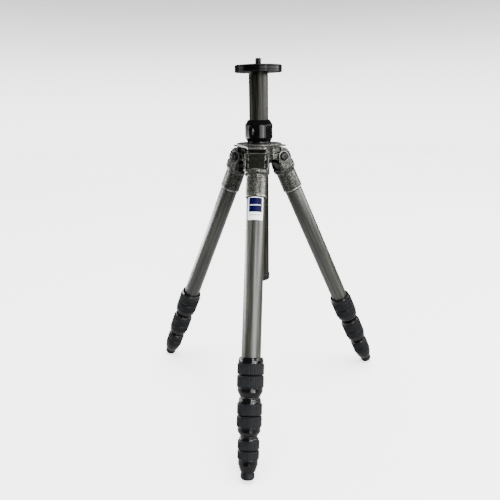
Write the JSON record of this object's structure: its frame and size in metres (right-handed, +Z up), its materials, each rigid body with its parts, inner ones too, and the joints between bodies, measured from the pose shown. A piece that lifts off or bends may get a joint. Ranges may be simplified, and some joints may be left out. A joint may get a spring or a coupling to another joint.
{
  "type": "camera tripod",
  "caption": "Photographic tripod with a sliding centre column, a round camera platform and telescoping carbon legs with twist locks, standing collapsed.",
  "frame": {"origin": "on the floor, at the middle of the footprint's bounding box", "axes": "+Z up along the centre column; the front leg points along -Y; +X is to the right seen from the front"},
  "size_m": [0.4184, 0.3652, 0.5635],
  "materials": {
    "hammertone_paint": "textured silver-grey hammer finish",
    "carbon_tube": "lacquered carbon fibre with lengthwise streaks",
    "black_metal": "gloss black anodised",
    "twist_lock": "ribbed matte grip rings on gloss black rings",
    "stud_steel": "turned steel thread",
    "foot_rubber": "matte moulded rubber",
    "black_nylon": "moulded nylon",
    "label": "printed label, plain blue block, no text"
  },
  "bodies": {
    "shoulder": {"shoulder_casting": "hammertone_paint", "column_bush": "black_nylon"},
    "column_lock": {"column_lock_ring": "black_metal"},
    "column": {"column_tube": "carbon_tube", "platform_disc": "black_metal", "column_insert": "black_nylon", "camera_stud": "stud_steel", "column_end_plug": "black_nylon"},
    "leg_front": {"leg_fork_front": "hammertone_paint", "pivot_bolt_front": "black_metal", "tube_1_front": "carbon_tube", "lock_1_collar_front": "twist_lock", "lock_1_bush_front": "black_nylon", "label_plate": "label"},
    "catch_front": {"angle_catch_front": "black_nylon"},
    "section_2_front": {"tube_2_front": "carbon_tube", "lock_2_collar_front": "twist_lock", "lock_2_bush_front": "black_nylon"},
    "nut_1_front": {"lock_1_nut_front": "twist_lock"},
    "section_3_front": {"tube_3_front": "carbon_tube", "lock_3_collar_front": "twist_lock", "lock_3_bush_front": "black_nylon"},
    "nut_2_front": {"lock_2_nut_front": "twist_lock"},
    "section_4_front": {"tube_4_front": "carbon_tube", "foot_front": "foot_rubber"},
    "nut_3_front": {"lock_3_nut_front": "twist_lock"},
    "leg_right": {"leg_fork_right": "hammertone_paint", "pivot_bolt_right": "black_metal", "tube_1_right": "carbon_tube", "lock_1_collar_right": "twist_lock", "lock_1_bush_right": "black_nylon"},
    "catch_right": {"angle_catch_right": "black_nylon"},
    "section_2_right": {"tube_2_right": "carbon_tube", "lock_2_collar_right": "twist_lock", "lock_2_bush_right": "black_nylon"},
    "nut_1_right": {"lock_1_nut_right": "twist_lock"},
    "section_3_right": {"tube_3_right": "carbon_tube", "lock_3_collar_right": "twist_lock", "lock_3_bush_right": "black_nylon"},
    "nut_2_right": {"lock_2_nut_right": "twist_lock"},
    "section_4_right": {"tube_4_right": "carbon_tube", "foot_right": "foot_rubber"},
    "nut_3_right": {"lock_3_nut_right": "twist_lock"},
    "leg_left": {"leg_fork_left": "hammertone_paint", "pivot_bolt_left": "black_metal", "tube_1_left": "carbon_tube", "lock_1_collar_left": "twist_lock", "lock_1_bush_left": "black_nylon"},
    "catch_left": {"angle_catch_left": "black_nylon"},
    "section_2_left": {"tube_2_left": "carbon_tube", "lock_2_collar_left": "twist_lock", "lock_2_bush_left": "black_nylon"},
    "nut_1_left": {"lock_1_nut_left": "twist_lock"},
    "section_3_left": {"tube_3_left": "carbon_tube", "lock_3_collar_left": "twist_lock", "lock_3_bush_left": "black_nylon"},
    "nut_2_left": {"lock_2_nut_left": "twist_lock"},
    "section_4_left": {"tube_4_left": "carbon_tube", "foot_left": "foot_rubber"},
    "nut_3_left": {"lock_3_nut_left": "twist_lock"}
  },
  "joints": [
    {"name": "column_slide", "type": "slide", "parent": "shoulder", "child": "column", "axis": [0, 0, 1], "range_m": [-0.068, 0.17]},
    {"name": "column_lock_turn", "type": "hinge", "parent": "shoulder", "child": "column_lock", "pos_m": [0, 0.05736, 0.45791], "axis": [0, 0, 1], "range_deg": [0, 100]},
    {"name": "leg_spread_front", "type": "hinge", "parent": "shoulder", "child": "leg_front", "pos_m": [0, 0.02286, 0.41791], "axis": [-1, 0, 0], "range_deg": [-25, 0]},
    {"name": "angle_catch_pull_front", "type": "slide", "parent": "leg_front", "child": "catch_front", "axis": [0, -0.9026, 0.4305], "range_m": [0, 0.005], "stiffness_N_per_m": 300, "springref_m": -0.004},
    {"name": "section_2_slide_front", "type": "slide", "parent": "leg_front", "child": "section_2_front", "axis": [0, -0.4305, -0.9026], "range_m": [0, 0.24]},
    {"name": "lock_1_turn_front", "type": "hinge", "parent": "leg_front", "child": "nut_1_front", "pos_m": [0, -0.11861, 0.12132], "axis": [0, -0.4305, -0.9026], "range_deg": [0, 120]},
    {"name": "section_3_slide_front", "type": "slide", "parent": "section_2_front", "child": "section_3_front", "axis": [0, -0.4305, -0.9026], "range_m": [0, 0.29]},
    {"name": "lock_2_turn_front", "type": "hinge", "parent": "section_2_front", "child": "nut_2_front", "pos_m": [0, -0.14233, 0.07158], "axis": [0, -0.4305, -0.9026], "range_deg": [0, 120]},
    {"name": "section_4_slide_front", "type": "slide", "parent": "section_3_front", "child": "section_4_front", "axis": [0, -0.4305, -0.9026], "range_m": [0, 0.33]},
    {"name": "lock_3_turn_front", "type": "hinge", "parent": "section_3_front", "child": "nut_3_front", "pos_m": [0, -0.16231, 0.0297], "axis": [0, -0.4305, -0.9026], "range_deg": [0, 120]},
    {"name": "leg_spread_right", "type": "hinge", "parent": "shoulder", "child": "leg_right", "pos_m": [0.02988, 0.07461, 0.41791], "axis": [0.5, -0.866, 0], "range_deg": [-25, 0]},
    {"name": "angle_catch_pull_right", "type": "slide", "parent": "leg_right", "child": "catch_right", "axis": [0.7817, 0.4513, 0.4305], "range_m": [0, 0.005], "stiffness_N_per_m": 300, "springref_m": -0.004},
    {"name": "section_2_slide_right", "type": "slide", "parent": "leg_right", "child": "section_2_right", "axis": [0.3728, 0.2153, -0.9026], "range_m": [0, 0.24]},
    {"name": "lock_1_turn_right", "type": "hinge", "parent": "leg_right", "child": "nut_1_right", "pos_m": [0.15239, 0.14534, 0.12132], "axis": [0.3728, 0.2153, -0.9026], "range_deg": [0, 120]},
    {"name": "section_3_slide_right", "type": "slide", "parent": "section_2_right", "child": "section_3_right", "axis": [0.3728, 0.2153, -0.9026], "range_m": [0, 0.29]},
    {"name": "lock_2_turn_right", "type": "hinge", "parent": "section_2_right", "child": "nut_2_right", "pos_m": [0.17293, 0.1572, 0.07158], "axis": [0.3728, 0.2153, -0.9026], "range_deg": [0, 120]},
    {"name": "section_4_slide_right", "type": "slide", "parent": "section_3_right", "child": "section_4_right", "axis": [0.3728, 0.2153, -0.9026], "range_m": [0, 0.33]},
    {"name": "lock_3_turn_right", "type": "hinge", "parent": "section_3_right", "child": "nut_3_right", "pos_m": [0.19023, 0.16719, 0.0297], "axis": [0.3728, 0.2153, -0.9026], "range_deg": [0, 120]},
    {"name": "leg_spread_left", "type": "hinge", "parent": "shoulder", "child": "leg_left", "pos_m": [-0.02988, 0.07461, 0.41791], "axis": [0.5, 0.866, 0], "range_deg": [-25, 0]},
    {"name": "angle_catch_pull_left", "type": "slide", "parent": "leg_left", "child": "catch_left", "axis": [-0.7817, 0.4513, 0.4305], "range_m": [0, 0.005], "stiffness_N_per_m": 300, "springref_m": -0.004},
    {"name": "section_2_slide_left", "type": "slide", "parent": "leg_left", "child": "section_2_left", "axis": [-0.3728, 0.2153, -0.9026], "range_m": [0, 0.24]},
    {"name": "lock_1_turn_left", "type": "hinge", "parent": "leg_left", "child": "nut_1_left", "pos_m": [-0.15239, 0.14534, 0.12132], "axis": [-0.3728, 0.2153, -0.9026], "range_deg": [0, 120]},
    {"name": "section_3_slide_left", "type": "slide", "parent": "section_2_left", "child": "section_3_left", "axis": [-0.3728, 0.2153, -0.9026], "range_m": [0, 0.29]},
    {"name": "lock_2_turn_left", "type": "hinge", "parent": "section_2_left", "child": "nut_2_left", "pos_m": [-0.17293, 0.1572, 0.07158], "axis": [-0.3728, 0.2153, -0.9026], "range_deg": [0, 120]},
    {"name": "section_4_slide_left", "type": "slide", "parent": "section_3_left", "child": "section_4_left", "axis": [-0.3728, 0.2153, -0.9026], "range_m": [0, 0.33]},
    {"name": "lock_3_turn_left", "type": "hinge", "parent": "section_3_left", "child": "nut_3_left", "pos_m": [-0.19023, 0.16719, 0.0297], "axis": [-0.3728, 0.2153, -0.9026], "range_deg": [0, 120]}
  ]
}
